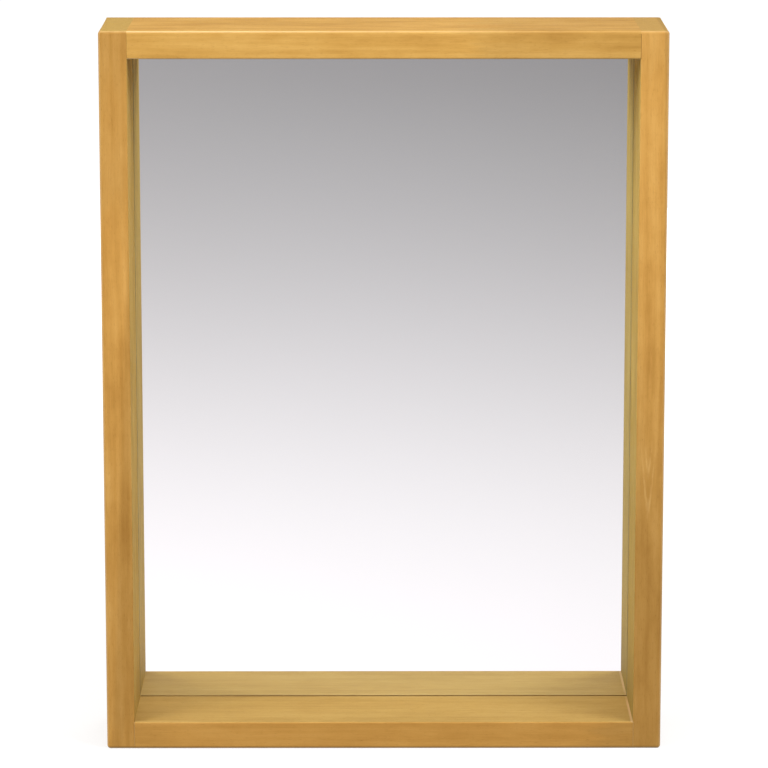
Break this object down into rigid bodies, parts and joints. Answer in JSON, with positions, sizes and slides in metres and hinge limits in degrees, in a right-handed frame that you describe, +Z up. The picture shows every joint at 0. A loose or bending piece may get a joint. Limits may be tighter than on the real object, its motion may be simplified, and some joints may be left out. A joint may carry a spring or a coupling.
{
  "type": "box-framed wall mirror with shelf",
  "caption": "Rectangular wall mirror set back in a deep hardwood box frame whose lower board is a shelf; the pane is held from behind by beads and hangs on keyhole straps.",
  "frame": {"origin": "middle of the frame's underside, at the middle of its depth", "axes": "+Z up, +X to the right as seen from the front, front towards -Y, wall side towards +Y"},
  "size_m": [0.5, 0.12, 0.65],
  "materials": {
    "oiled_hardwood": "oiled, satin, straight grained",
    "bead_hardwood": "planed, unoiled",
    "dowel_beech": "fluted, raw",
    "silvered_glass": "polished float glass, silvered and painted behind",
    "backing_foam": "closed-cell foam sheet",
    "plywood": "sanded, raw",
    "brad_steel": "bright steel",
    "strap_steel": "zinc plated",
    "screw_steel": "zinc plated"
  },
  "bodies": {
    "root": {"left_stile": "oiled_hardwood", "right_stile": "oiled_hardwood", "top_rail": "oiled_hardwood", "shelf_board": "oiled_hardwood", "left_bead": "bead_hardwood", "right_bead": "bead_hardwood", "top_bead": "bead_hardwood", "bottom_bead": "bead_hardwood", "dowels_top_left": "dowel_beech", "dowels_top_right": "dowel_beech", "dowels_bottom_left": "dowel_beech", "dowels_bottom_right": "dowel_beech", "mirror_pane": "silvered_glass", "foam_sheet": "backing_foam", "back_panel": "plywood", "left_bead_brads": "brad_steel", "right_bead_brads": "brad_steel", "top_bead_brads": "brad_steel", "bottom_bead_brads": "brad_steel", "left_hanger": "strap_steel", "right_hanger": "strap_steel", "left_hanger_screws": "screw_steel", "right_hanger_screws": "screw_steel"}
  },
  "joints": []
}
